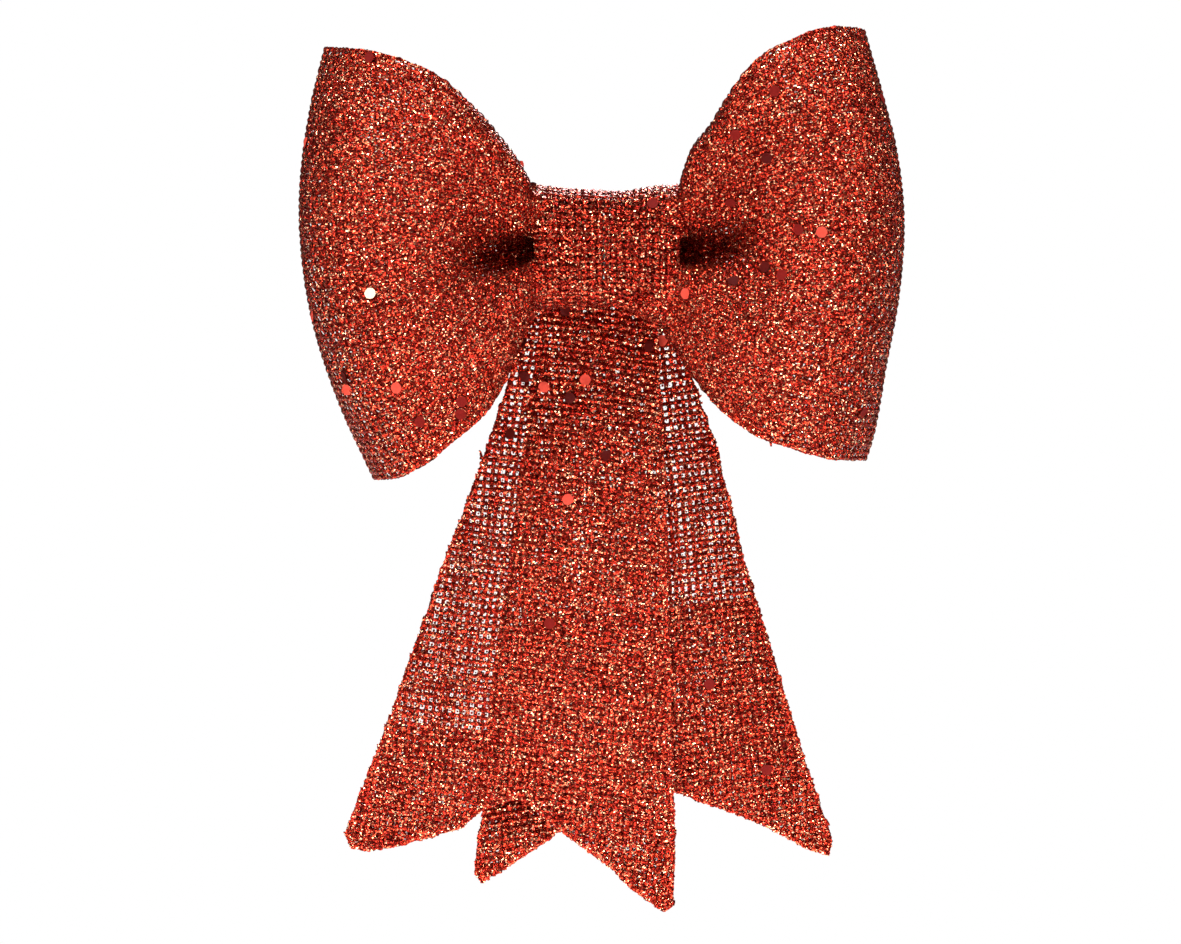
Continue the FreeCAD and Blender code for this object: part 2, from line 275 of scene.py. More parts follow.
# Outlines seen from the front, in mm: (distance from the middle, height).
# Pocket is the height of the hollow's middle line at the band and its slope outwards; crests are those of the
# humps below and above it.
LEFT_LOOP = {
    "side": -1, "pocket": (-0.6, -0.24), "crests": ((-8.5, -0.88), (8.5, 0.93)),
    "near": [(19.4, -14.3), (19.4, 0.0), (19.4, 14.8)],
    "upper": [(19.4, 14.8), (21.0, 18.5), (25.6, 25.7), (34.6, 36.1), (42.6, 43.0), (55.8, 49.1),
              (67.8, 52.3), (74.6, 52.4)],
    "lower": [(19.4, -14.3), (20.6, -19.0), (22.0, -23.5), (25.1, -31.3), (31.2, -42.2), (42.6, -52.5),
              (50.5, -58.4), (58.8, -61.3), (61.7, -61.0)],
    "far": [(61.7, -61.0), (70.4, -42.2), (77.9, -19.1), (81.2, 11.4), (77.9, 39.0), (74.6, 52.4)],
}
RIGHT_LOOP = {
    "side": 1, "pocket": (-1.8, 0.12), "crests": ((-9.5, -0.88), (7.5, 0.95)),
    "near": [(14.6, -21.0), (18.4, -14.0), (19.4, 0.0), (19.4, 15.0)],
    "upper": [(19.4, 15.0), (20.6, 20.0), (22.9, 26.0), (27.5, 32.1), (35.4, 44.0), (42.3, 50.4),
              (49.5, 53.9), (57.2, 57.3), (64.9, 58.0), (68.4, 57.0)],
    "lower": [(14.6, -21.0), (17.0, -25.2), (19.6, -28.9), (22.6, -32.9), (28.3, -40.3), (38.9, -48.8),
              (51.6, -53.6), (61.7, -56.0), (68.8, -56.2)],
    "far": [(68.8, -56.2), (69.9, -52.8), (74.1, -31.0), (77.6, -11.4), (78.7, 7.4), (76.5, 26.8),
            (72.8, 41.4), (68.4, 57.0)],
}
LOOP_REACH = 61.0            # from the band's edge to the outer fold, mm
# Plan of a loop: (share of that reach, y in mm), front first.
LOOP_PLAN = [(-0.315, -28.5), (-0.12, -31.5), (0.0, -36.0), (0.16, -43.0), (0.36, -49.5), (0.66, -54.0),
             (0.895, -47.0), (1.0, -31.0), (0.895, -15.5), (0.63, -10.6), (0.275, -13.2), (0.0, -17.6),
             (-0.315, -22.0)]
POCKET_DEPTH = 16.5          # of the narrow pocket right beside the band, mm
POCKET_DEEPENING = 36.0      # how much deeper it gets over the loop's reach, up to DEEPEST_AT, mm
DEEPEST_AT = 0.22            # share of the loop's reach where the pocket is deepest
HOLLOW_DEPTH = 14.0          # of the wide hollow that opens out of the pocket, mm
CREST_HEIGHT = 3.0           # of the humps that run out of the band above and below the hollow, mm
SELVAGE = 0.2                # outer share of the ribbon's half width that rolls back near the band
ROLL_DEPTH = (11.0, 7.0)     # how far the upper and the lower selvage roll back, mm
BULGE = 3.0                  # how far the loop's front swells forwards between its edges, mm
EDGE_WAVE = 0.12             # height of the small waves along the loops' edges, mm


def loop_points(shape, seed):
    """Grid of a loop's surface, in mm: length from the front of the waist to its back, then width."""
    rng = np.random.default_rng(seed)
    near, far, lower, upper = (smooth_curve(shape[k]) for k in ("near", "far", "lower", "upper"))
    plan = smooth_curve([(share * LOOP_REACH, y) for share, y in LOOP_PLAN])
    length = curve_length(plan)
    threads = round(length / PITCH), round(RIBBON_WIDTH / PITCH)
    p = thread_places(threads[0], rng)
    across_row = 2 * thread_places(threads[1], rng) - 1
    columns = len(across_row)
    plan_at = along(plan, p)
    share = np.repeat((plan_at[:, 0] / LOOP_REACH)[:, None], columns, axis=1)
    depth = np.repeat(plan_at[:, 1][:, None], columns, axis=1)
    front = np.repeat(smoothstep(0.56, 0.44, p)[:, None], columns, axis=1)
    outside = np.clip(share, 0, 1)
    inside_band = np.clip(-share, 0, 1)

    across = np.repeat(across_row[None], len(p), axis=0)
    past = np.clip((np.abs(across) - (1 - SELVAGE)) / SELVAGE, 0, 1)
    rolled = smoothstep(0.6, 0.1, outside)
    bent = np.where(past > 0, 1 - SELVAGE + SELVAGE * (past - past**2 / 2), np.abs(across))
    bent = bent / (1 - SELVAGE / 2)
    across_seen = np.sign(across) * (rolled * bent + (1 - rolled) * np.abs(across))
    v = (across_seen + 1) / 2
    flat = coons(outside, v, near, far, lower, upper)
    x = flat[..., 0] - inside_band * LOOP_REACH
    z = flat[..., 1] * (1 - 1.5 * inside_band)

    # The front: a narrow pocket beside the band opens out into a wide hollow between two crests. Each has one
    # width above its middle line and one below it, and all get wider outwards.
    from_band = x - BAND_HALF_WIDTH
    pocket_z, pocket_slope = shape["pocket"]
    below, above = shape["crests"]
    from_pocket = z - pocket_z - pocket_slope * from_band
    pocket_width = np.where(from_pocket > 0, 2.6 + 7.0 * outside, 2.0 + 5.0 * outside)
    deepest = POCKET_DEPTH + POCKET_DEEPENING * np.minimum(outside, DEEPEST_AT)
    pocket = deepest * smoothstep(0.46, 0.2, outside) * np.exp(-np.abs(from_pocket / pocket_width) ** 2.6)
    hollow_width = np.where(from_pocket > 0, 3.0 + 48.0 * outside, 2.2 + 28.0 * outside)
    hollow = HOLLOW_DEPTH * smoothstep(1.0, 0.2, outside) * np.exp(-np.abs(from_pocket / hollow_width) ** 1.6)
    hollow += pocket * (1 - hollow / deepest)
    crest_width = 4.5 + 14.0 * outside
    crests = (np.exp(-((z - above[0] - above[1] * from_band) / crest_width) ** 2)
              + np.exp(-((z - below[0] - below[1] * from_band) / crest_width) ** 2))
    crests *= CREST_HEIGHT * smoothstep(0.0, 0.06, outside) * smoothstep(0.85, 0.2, outside)
    roll = np.where(across > 0, *ROLL_DEPTH) * rolled * past**2
    bulge = -BULGE * (1 - across**2) * smoothstep(0.15, 0.8, outside)
    back_valley = -smoothstep(0.5, 0.0, outside) * np.exp(-(from_pocket / (9.0 + 17.0 * outside)) ** 2)
    back_roll = -2.0 * smoothstep(0.7, 0.0, outside) * across**4
    ripple = 0.5 * np.sin(0.16 * x + 0.11 * z + 2.0 * shape["side"]) * smoothstep(0.1, 0.5, outside)
    y = depth + front * (hollow - crests + roll + bulge) + (1 - front) * (back_valley + back_roll) + ripple
    lip = smoothstep(0.93, 1.0, across) * smoothstep(0.72, 0.92, outside)
    wavy = np.sign(across) * smoothstep(0.8, 1.0, np.abs(across)) * smoothstep(0.0, 0.2, outside)
    wavy = EDGE_WAVE * wavy * np.sin(0.62 * x + 1.5 * np.sin(0.23 * x) + shape["side"])
    z = z + lip * (0.5 - 1.3 * front) + wavy
    return np.stack([shape["side"] * x, y, z], axis=-1), length


# ---------------------------------------------------------------- knot band

# Section of the band in mm: (y, height as a share of the half height), from the back over the top and round.
BAND_SECTION = [(-12.6, -0.35), (-12.6, 0.35), (-13.0, 0.80), (-15.6, 0.97), (-20.0, 1.0), (-26.0, 0.985),
                (-30.6, 0.88), (-34.2, 0.66), (-36.5, 0.36), (-37.3, 0.04), (-36.0, -0.42), (-31.6, -0.82),
                (-26.6, -0.98), (-21.0, -1.0), (-15.4, -0.98), (-12.9, -0.80), (-12.4, -0.35), (-11.7, 0.05),
                (-11.9, 0.45)]
BAND_HALF_HEIGHT = 15.0
BAND_MIDDLE_Y = -25.0


def band_points(seed):
    """Grid of the knot band's surface, in mm: round the band, then across it with both hems turned in."""
    rng = np.random.default_rng(seed)
    section = smooth_curve([(y, BAND_HALF_HEIGHT * share) for y, share in BAND_SECTION])
    length = curve_length(section)
    flat_half = BAND_HALF_WIDTH + HEM
    around = along(section, thread_places(round(length / PITCH), rng))
    across = flat_half * (2 * thread_places(round(2 * flat_half / PITCH), rng) - 1)
    rows = len(around)
    turned_in = np.clip(np.abs(across) - BAND_HALF_WIDTH, 0, None)
    x = np.sign(across) * (np.minimum(np.abs(across), BAND_HALF_WIDTH) - turned_in)
    inset = smoothstep(0, 1.2, turned_in) + 0.35 * smoothstep(0.75, 1.0, np.abs(x) / BAND_HALF_WIDTH)
    share = around[:, 1] / BAND_HALF_HEIGHT
    bow = (x / BAND_HALF_WIDTH) ** 2
    top = 14.9 + 2.1 * bow
    bottom = -15.2 - np.where(x > 0, 3.2, 0.8) * bow
    z = np.where(share[:, None] > 0, share[:, None] * top, -share[:, None] * bottom)
    y = np.repeat(around[:, 0][:, None], len(x), axis=1)
    toward = np.stack([BAND_MIDDLE_Y - y, -z], axis=-1)
    toward /= np.linalg.norm(toward, axis=-1, keepdims=True)
    points = np.stack([np.repeat(x[None], rows, axis=0), y, z], axis=-1)
    dents = 0.25 * np.sin(0.35 * x[None] + 0.22 * z) * np.sin(0.27 * z + 0.9)
    points[..., 1:] += toward * (inset[None] + dents)[..., None]
    return points, length


# ---------------------------------------------------------------- tails

# Outlines in mm, (x, z), with the V cut between the two tips. Lean is the tilt of the threads, in degrees.
# The doubled ply behind starts at the slanted thread row given as (x, z, slope).
# Clogged are the heights where glitter starts to fill the holes and where it has filled them. Along the
# clogged edge, given as (x, z, slope), it fills them from just below z.
# Whiskers are loose thread ends at the edges: (x, z, direction in degrees, length).
LEFT_TAIL = {
    "outline": [(-11.0, 8.0), (-22.7, -24.9), (-32.0, -53.3), (-44.7, -87.3), (-59.8, -130.3),
                (-69.9, -156.5), (-68.5, -159.8), (-63.3, -161.0), (-53.5, -159.2), (-38.9, -154.9),
                (-33.0, -149.9), (-23.2, -146.7), (-12.6, -155.5), (0.1, -164.5), (6.0, -170.6),
                (15.4, -177.4), (17.9, -175.9), (18.2, -154.9), (17.4, -120.2), (16.3, -88.3),
                (15.3, -50.7), (12.2, 8.0)],
    "lean": 7.4, "y": -8.0, "backing": (-58.2, -126.0, -0.13), "clogged": (-92.0, -128.0),
    "clogged_edge": (-35.0, -60.0, 0.364), "whiskers": [(-33.3, -56.4, 84, 2.6)],
}
RIGHT_TAIL = {
    "outline": [(-13.5, 8.0), (-21.1, -48.6), (-24.8, -80.4), (-29.1, -106.9), (-33.0, -149.9),
                (-35.4, -167.1), (-33.3, -169.8), (-26.1, -165.3), (-17.1, -159.2), (8.9, -141.4),
                (18.2, -145.4), (28.3, -149.1), (41.3, -153.9), (52.7, -160.0), (59.4, -162.4),
                (60.4, -158.4), (51.6, -131.9), (44.2, -107.4), (38.3, -88.3), (29.8, -53.9),
                (22.2, -31.6), (9.5, 8.0)],
    "lean": -6.8, "y": -3.4, "backing": (28.0, -95.0, 0.12), "clogged": (-92.0, -97.0),
    "clogged_edge": (30.0, -54.0, -0.255),
    "whiskers": [(23.4, -40.1, 4, 2.4), (28.8, -56.0, 78, 3.0), (39.2, -91.0, 82, 2.6),
                 (59.6, -154.5, 100, 2.6)],
}
TAIL_TOP, TAIL_BOTTOM, TAIL_REACH = -14.0, 190.0, 66.0  # of the uncut net, along and across its threads, mm
UNEVEN_THREADS = 0.16        # how far a tail's threads lie from even spacing, mm
TAIL_FILL = 0.65             # how far glitter fills a tail's holes where it isn't clogged
RIVET_HOLE = 3.4             # radius of the hole round the glue rivet, mm
WHISKER_CURL = 0.35          # turn from a whisker's foot to its tip, radians
WHISKER_TAPER = (0.9, 0.4)   # girth at its foot and its tip, as shares of a thread's


def inside(outline, x, z):
    """Which points lie inside a closed outline."""
    outline = np.array(outline)
    result = np.zeros(x.shape, bool)
    for (x0, z0), (x1, z1) in zip(outline, np.roll(outline, -1, axis=0)):
        if z0 == z1:
            continue
        crosses = (z0 > z) != (z1 > z)
        result ^= crosses & (x < x0 + (x1 - x0) * (z - z0) / (z1 - z0))
    return result


def tail_depth(x, z):
    """How far a tail's surface bends out of its plane, in mm, at the places (x, z)."""
    down = np.clip(-z / 178.0, 0, 1)
    cross = 0.9 * np.sin(0.052 * x + 0.6) * down
    lengthwise = 0.8 * np.sin(0.034 * z + 0.4) * smoothstep(0, 0.3, down)
    return cross + lengthwise


def uneven_places(start, threads, rng):
    """Places in mm at FINE samples to a pitch, across threads that lie slightly off even spacing."""
    at = np.arange(threads * FINE + 1) / FINE
    uneven = UNEVEN_THREADS * rng.standard_normal(threads + 1)
    return start + PITCH * at + np.interp(at, np.arange(threads + 1), uneven)


def tail_parts(tail, seed, behind=0.0, twist=0.0):
    """Net of a tail's ply on its own slanted threads, cut to its outline, and the area of that cut in mm2.

    Behind is how far a doubled ply lies behind the tail's own; twist turns its threads, in degrees.
    """
    rng = np.random.default_rng(seed)
    lean = math.radians(tail["lean"] + twist)
    rows = round((TAIL_BOTTOM - TAIL_TOP) / PITCH)
    columns = round(2 * TAIL_REACH / PITCH)
    p = uneven_places(TAIL_TOP, rows, rng)
    q = uneven_places(-TAIL_REACH, columns, rng)
    phase = rng.random(4) * 6
    p, q = np.meshgrid(p + behind, q + behind, indexing="ij")
    x = -math.sin(lean) * p + math.cos(lean) * q
    z = -math.cos(lean) * p - math.sin(lean) * q
    x = x + 0.35 * np.sin(0.10 * p + phase[0]) + 0.25 * np.sin(0.21 * q + 0.08 * p + phase[1])
    z = z + 0.35 * np.sin(0.12 * q + phase[2]) + 0.25 * np.sin(0.19 * p - 0.07 * q + phase[3])
    keep = inside(tail["outline"], x, z) & (np.hypot(x, z) > RIVET_HOLE)
    if behind:
        row_x, row_z, slope = tail["backing"]
        keep &= z < row_z + slope * (x - row_x)
    points = np.stack([x, tail["y"] + tail_depth(x, z) + behind, z], axis=-1)
    area = keep.sum() * (PITCH / FINE) ** 2
    clear, full = tail["clogged"]
    edge_x, edge_z, edge_slope = tail["clogged_edge"]
    from_edge = np.abs(x - edge_x - edge_slope * (z - edge_z))
    fill = np.clip(TAIL_FILL + smoothstep(-clear, -full, -z)
                   + smoothstep(15.0, 3.0, from_edge) * smoothstep(-edge_z, 25.0 - edge_z, -z), 0, 1)
    parts = net_parts(points, keep, seed + 1, fill) + cut_edge(tail, seed + 2, behind)
    if not behind:
        parts += whiskers(tail["whiskers"], lambda x, z: tail["y"] + tail_depth(x, z), seed + 3)
    return parts, area


def cut_edge(tail, seed, behind):
    """The glitter-clogged edge that runs all round a tail's cut, as one uneven thread."""
    rng = np.random.default_rng(seed)
    outline = np.array(tail["outline"] + tail["outline"][:1])
    count = round(curve_length(outline) / PITCH * FINE)
    line = even_line(outline, count)
    tangent = np.gradient(line, axis=0)
    tangent /= np.linalg.norm(tangent, axis=1, keepdims=True) + 1e-9
    inward = np.stack([-tangent[:, 1], tangent[:, 0]], axis=1)
    middle = outline[:-1].mean(axis=0)
    inward *= np.sign(((middle - line) * inward).sum(axis=1).mean())
    shift = 0.5 + 0.16 * slow_noise(rng, 1, count, 5)[0] + 0.10 * rng.standard_normal(count)
    line = line + inward * shift[:, None]
    x, z = line.T
    path = np.stack([x, tail["y"] + tail_depth(x, z) + behind, z], axis=-1)[None]
    side = np.stack([inward[:, 0], np.zeros(count), inward[:, 1]], axis=-1)[None]
    normal = np.broadcast_to(np.array([0.0, -1.0, 0.0]), side.shape)
    shown = np.ones((1, count), bool)
    if behind:
        row_x, row_z, slope = tail["backing"]
        shown &= (z < row_z + slope * (x - row_x))[None]
    return [thread_tubes(path, side, normal, shown, rng, 1.05)]


def whiskers(ends, depth, seed):
    """Short tapered thread ends that stick out of an edge, each in the plane y = depth(x, z) of its foot."""
    rng = np.random.default_rng(seed)
    count = 7
    parts = []
    for x, z, direction, length in ends:
        angle = math.radians(direction) + np.linspace(0, WHISKER_CURL, count)
        step = length / (count - 1)
        run = np.cumsum(np.full(count, step)) - step
        y = np.full(count, depth(x, z))
        path = np.stack([x + run * np.cos(angle), y, z + run * np.sin(angle)], axis=-1)
        side = np.stack([-np.sin(angle), np.zeros(count), np.cos(angle)], axis=-1)
        normal = np.broadcast_to(np.array([0.0, -1.0, 0.0]), side.shape)
        taper = np.linspace(*WHISKER_TAPER, count)[None]
        shown = np.ones((1, count), bool)
        parts.append(thread_tubes(path[None], side[None], normal[None], shown, rng, taper))
    return parts


# ---------------------------------------------------------------- confetti flakes

# Flakes seen on the front: (x, z, tone) in mm; tone 0 is cream, 1 salmon, 2 red and 3 dark red.
FLAKES = [(-62.2, -12.7, 0), (-10.2, -67.1, 1), (21.1, -12.7, 1), (15.0, -24.4, 1), (-16.6, -36.9, 1),
          (-5.7, -35.0, 1), (56.6, 3.2, 1), (-55.3, -37.4, 1), (-68.3, -37.9, 1), (50.8, 4.2, 2),
          (-68.8, -34.5, 3), (-48.7, -46.4, 2), (-38.3, -41.1, 2), (-38.3, -44.6, 2), (-62.2, 50.1, 2),
          (12.3, 11.1, 2), (-11.0, -16.4, 3), (11.3, -26.0, 3), (-21.9, -34.2, 3), (-9.7, -39.8, 3),
          (-0.1, -55.2, 3), (-25.6, -49.6, 3), (-15.3, -100.3, 2), (27.7, -116.5, 2), (43.1, -139.5, 2),
          (42.3, 22.8, 3), (34.1, 28.9, 2), (44.2, 40.3, 2), (32.5, 11.9, 2), (42.0, -5.6, 3),
          (46.3, -8.0, 2), (33.6, -9.6, 3), (67.3, -43.8, 2), (72.6, 38.7, 2), (-79.7, 27.6, 1),
          (-77.9, -18.8, 1)]
FLAKE_STAND = 0.62           # of a flake's middle off the net's middle surface, mm
FLAKE_THICKNESS = 0.08       # mm
FLAKE_TILT = 0.16            # how far flakes lean off the net, radians
FLAKE_BEND = 0.12            # how far their edges bend up and down, mm
FLAKE_CORNERS = 12


def nearest_front(points, x, z):
    """The point of a grid's front nearest to (x, z), and the normal there towards -Y."""
    # A loop's grid starts at the front, so its first half is the front. The band's starts behind the waist.
    half = points[: points.shape[0] // 2] if points[0, 0, 1] < -20 else points
    # Of points that are about as near, the one furthest forwards is taken.
    gap = (half[..., 0] - x) ** 2 + (half[..., 2] - z) ** 2 + 0.002 * (half[..., 1] + 60) ** 2
    i, j = np.unravel_index(np.argmin(gap), gap.shape)
    i, j = np.clip((i, j), 3, np.array(half.shape[:2]) - 4)
    normal = np.cross(half[i + 3, j] - half[i - 3, j], half[i, j + 3] - half[i, j - 3])
    normal /= np.linalg.norm(normal)
    return half[i, j], normal * (-1 if normal[1] > 0 else 1)


def back_flakes(points, count, rng):
    """Random flakes on a grid's backward-facing outer side, as (place, normal, tone)."""
    normal = surface_frame(points)[2]
    middle = points.mean(axis=(0, 1))
    outward = normal * np.sign(((points - middle) * normal).sum(axis=-1, keepdims=True))
    rows, columns = np.nonzero((outward[..., 1] > 0.3) & (points[..., 1] > middle[1] + 4))
    places = []
    for pick in rng.choice(len(rows), count, replace=False):
        at = rows[pick], columns[pick]
        places.append((points[at], outward[at], rng.integers(1, 4)))
    return places


def flake_part(places, rng):
    """Vertices and faces of thin, slightly bent round flakes, and the tone of each face."""
    vertices, tones = [], []
    turn = np.arange(FLAKE_CORNERS) * 2 * math.pi / FLAKE_CORNERS
    for place, normal, tone in places:
        normal = normal + FLAKE_TILT * rng.standard_normal(3)
        normal /= np.linalg.norm(normal)
        u = np.cross(normal, (0, 0, 1.0))
        u /= np.linalg.norm(u)
        w = np.cross(normal, u)
        radius = FLAKE_RADIUS * (1 + 0.04 * np.cos(6 * turn + rng.random()))[:, None]
        ring = u * np.cos(turn)[:, None] * radius + w * np.sin(turn)[:, None] * radius
        bend = FLAKE_BEND * np.cos(2 * turn + 6 * rng.random())[:, None] * normal
        middle = place + normal * FLAKE_STAND
        half = normal * FLAKE_THICKNESS / 2
        vertices += [middle + ring + bend + half, middle + ring + bend - half]
        tones.append(tone)
    corner = np.arange(FLAKE_CORNERS)
    front = 2 * FLAKE_CORNERS * np.arange(len(places))[:, None] + corner
    back = front + FLAKE_CORNERS
    sides = np.stack([front, back, np.roll(back, -1, axis=1), np.roll(front, -1, axis=1)], axis=-1)
    tones = np.array(tones)
    tones = np.concatenate([tones, tones, np.repeat(tones, FLAKE_CORNERS)])
    return (np.concatenate(vertices), [front, back[:, ::-1], sides.reshape(-1, 4)]), tones


# ---------------------------------------------------------------- glue and twist tie

# Profile of the glue rivet in mm, (y, radius), from the middle of its flat back to the middle of its foot.
RIVET_PROFILE = [(0.0, 0.0), (0.0, 4.0), (0.0, 7.4), (-0.3, 8.7), (-0.9, 8.9), (-1.4, 8.0), (-1.6, 5.6),
                 (-2.0, 3.5), (-3.0, 2.9), (-6.0, 2.8), (-9.6, 2.9), (-10.4, 4.0), (-11.0, 5.1), (-11.4, 4.6),
                 (-11.5, 2.4), (-11.5, 0.0)]
TIE_HALF_SPAN = 20.5         # from the middle to the line of either leg, mm
TIE_HEIGHT = 4.0             # of the tie's middle line above the origin, mm
TIE_SADDLE_Y = -14.9         # of the saddle's middle line inside the band, mm
TIE_JOIN_Y = -1.5            # where the saddle's strip and a leg's strip meet, mm
TIE_HINGE_Y = 1.7            # where a leg bends, mm
TIE_BEND_RADIUS = 1.6        # of the saddle's two corners, mm
TIE_LEG_LENGTH = 50.0        # mm
TIE_END_MARGIN = 0.4         # of plastic past the end of the wire, mm
# Section of the twist tie in mm, (across, thick): two flat wings and the ridge over the wire.
TIE_SECTION = [(-1.98, 0.0), (-1.90, 0.18), (-0.85, 0.20), (-0.50, 0.36), (-0.18, 0.49), (0.18, 0.49),
               (0.50, 0.36), (0.85, 0.20), (1.90, 0.18), (1.98, 0.0), (1.90, -0.18), (0.85, -0.20),
               (0.50, -0.36), (0.18, -0.49), (-0.18, -0.49), (-0.50, -0.36), (-0.85, -0.20), (-1.90, -0.18)]


def tube_faces(rings, corners):
    """Quads between rings of equal corner count, and the two end caps."""
    index = np.arange(rings * corners).reshape(rings, corners)
    turned = np.roll(index, -1, axis=1)
    quads = np.stack([index[:-1], index[1:], turned[1:], turned[:-1]], axis=-1).reshape(-1, 4)
    return [quads, np.stack([index[0], index[-1][::-1]])]


def rivet_part(seed):
    """Lumpy glue pad, shank and foot, with the pad's back almost flat in the plane y = 0."""
    rng = np.random.default_rng(seed)
    profile = smooth_curve(RIVET_PROFILE, 70)
    turn = np.linspace(0, 2 * math.pi, 56, endpoint=False)
    wave = sum(rng.uniform(0.2, 1) * np.cos(k * turn + rng.uniform(0, 6)) / k for k in (2, 3, 5, 8))
    y, radius = profile[:, 0][:, None], np.clip(profile[:, 1], 0.05, None)[:, None]
    uneven = 1 + 0.045 * wave[None] * smoothstep(2.0, 6.0, radius)
    ring = radius * uneven
    dents = 0.12 * np.sin(1.1 * ring * np.cos(turn) + 0.4) * np.sin(0.9 * ring * np.sin(turn) + 1.0)
    depth = np.clip(y - 0.1 + dents, None, 0.0)
    vertices = np.stack([ring * np.cos(turn), depth, ring * np.sin(turn)], axis=-1)
    return vertices.reshape(-1, 3), tube_faces(len(profile), len(turn))


def bead_part(low, high, seed):
    """Uneven bead of glue along X that fills a CAD box."""
    rng = np.random.default_rng(seed)
    low, high = np.array(low) / MM, np.array(high) / MM
    rings, corners = 90, 16
    t = np.linspace(0, 1, rings)
    swell = 0.80 + 0.12 * np.sin(14 * t + 1) + 0.08 * slow_noise(rng, 1, rings, 7)[0]
    swell = np.clip(swell, 0.5, 1.0) * np.sqrt(np.clip(1 - np.abs(2 * t - 1) ** 10, 0.02, 1))
    turn = np.linspace(0, 2 * math.pi, corners, endpoint=False)
    y = low[1] + (high[1] - low[1]) * swell[:, None] * np.clip(np.cos(turn), -0.15, 1)
    z = (low[2] + high[2]) / 2 + (high[2] - low[2]) / 2 * swell[:, None] * np.sin(turn)
    x = np.repeat((low[0] + (high[0] - low[0]) * t)[:, None], corners, axis=1)
    return np.stack([x, y, z], axis=-1).reshape(-1, 3), tube_faces(rings, corners)


def saddle_path():
    """Line of the twist tie's middle: from behind the band's left edge, across inside the band and back."""
    arc = np.linspace(0, math.pi / 2, 9)
    corner_y = TIE_SADDLE_Y + TIE_BEND_RADIUS
    turn_x = TIE_HALF_SPAN - TIE_BEND_RADIUS
    left = [(-turn_x - TIE_BEND_RADIUS * math.cos(a), corner_y - TIE_BEND_RADIUS * math.sin(a))
            for a in arc]
    half = [(-TIE_HALF_SPAN, TIE_JOIN_Y)] + left
    line = even_line(np.array(half + [(-x, y) for x, y in half[::-1]]), 160)
    return np.column_stack([line, np.full(len(line), TIE_HEIGHT)])


def strip_part(path, seed):
    """Twist-tie strip along a level path, its width upright, with slightly wavy wings."""
    rng = np.random.default_rng(seed)
    tangent = np.gradient(path, axis=0)
    tangent /= np.linalg.norm(tangent, axis=1, keepdims=True)
    up = np.array([0, 0, 1.0])
    thick = np.cross(tangent, up)
    across, high = np.array(TIE_SECTION).T
    wave = 0.10 * slow_noise(rng, 2, len(path), 9)
    lift = np.where(across < 0, wave[0][:, None], wave[1][:, None]) * smoothstep(0.5, 2.0, np.abs(across))
    vertices = (path[:, None] + up * across[None, :, None] + thick[:, None] * (high[None] + lift)[..., None])
    return vertices.reshape(-1, 3), tube_faces(len(path), len(across))


# ---------------------------------------------------------------- materials


def new_material(name):
    """A node material with its tree and Principled shader."""
    material = bpy.data.materials.new(name)
    material.use_nodes = True
    tree = material.node_tree
    return material, tree, tree.nodes["Principled BSDF"]


def ramp(tree, stops, source):
    """A colour ramp with (place, colour) stops, fed from a socket."""
    node = tree.nodes.new("ShaderNodeValToRGB")
    while len(node.color_ramp.elements) < len(stops):
        node.color_ramp.elements.new(0.5)
    for element, (place, colour) in zip(node.color_ramp.elements, stops):
        element.position = place
        element.color = (*colour, 1)
    tree.links.new(source, node.inputs["Fac"])
    return node.outputs["Color"]


def vector_math(tree, operation, source, second=None, scale=None):
    """A vector maths node with its second input as a constant or a socket."""
    node = tree.nodes.new("ShaderNodeVectorMath")
    node.operation = operation
    tree.links.new(source, node.inputs[0])
    if scale is not None:
        node.inputs["Scale"].default_value = scale
    elif isinstance(second, tuple):
        node.inputs[1].default_value = second
    elif second is not None:
        tree.links.new(second, node.inputs[1])
    return node.outputs["Vector"]


GRAIN_SIZE = 0.33            # of a glitter grain, mm
GRAIN_TILT = 0.7             # how far the grains' faces turn away from the surface

# Colours of the grains at places from 0 to 1 of a ramp, from the dark ones to the few that glint.
GRAIN_COLOURS = [(0.0, (0.06, 0.0014, 0.0005)), (0.40, (0.15, 0.0035, 0.0012)), (0.66, (0.38, 0.012, 0.004)),
                 (0.82, (0.80, 0.048, 0.016)), (0.91, (1.0, 0.19, 0.08)), (0.96, (1.0, 0.58, 0.34))]


def glitter_material():
    """Grains of red glitter: each cell of a Voronoi pattern has its own colour and its own tilt."""
    material, tree, shader = new_material("glitter_net")
    place = tree.nodes.new("ShaderNodeTexCoord")
    grains = tree.nodes.new("ShaderNodeTexVoronoi")
    grains.inputs["Scale"].default_value = 1 / (GRAIN_SIZE * MM)
    tree.links.new(place.outputs["Object"], grains.inputs["Vector"])
    split = tree.nodes.new("ShaderNodeSeparateColor")
    tree.links.new(grains.outputs["Color"], split.inputs["Color"])
    colour = ramp(tree, GRAIN_COLOURS, split.outputs["Red"])
    tree.links.new(colour, shader.inputs["Base Color"])
    fresh = tree.nodes.new("ShaderNodeTexWhiteNoise")
    fresh.noise_dimensions = "3D"
    tree.links.new(grains.outputs["Position"], fresh.inputs["Vector"])
    centred = vector_math(tree, "SUBTRACT", fresh.outputs["Color"], (0.5, 0.5, 0.5))
    tilt = vector_math(tree, "SCALE", centred, scale=GRAIN_TILT)
    geometry = tree.nodes.new("ShaderNodeNewGeometry")
    turned = vector_math(tree, "ADD", geometry.outputs["Normal"], tilt)
    unit = vector_math(tree, "NORMALIZE", turned)
    tree.links.new(unit, shader.inputs["Normal"])
    shader.inputs["Metallic"].default_value = 0.9
    shader.inputs["Roughness"].default_value = 0.27
    return material


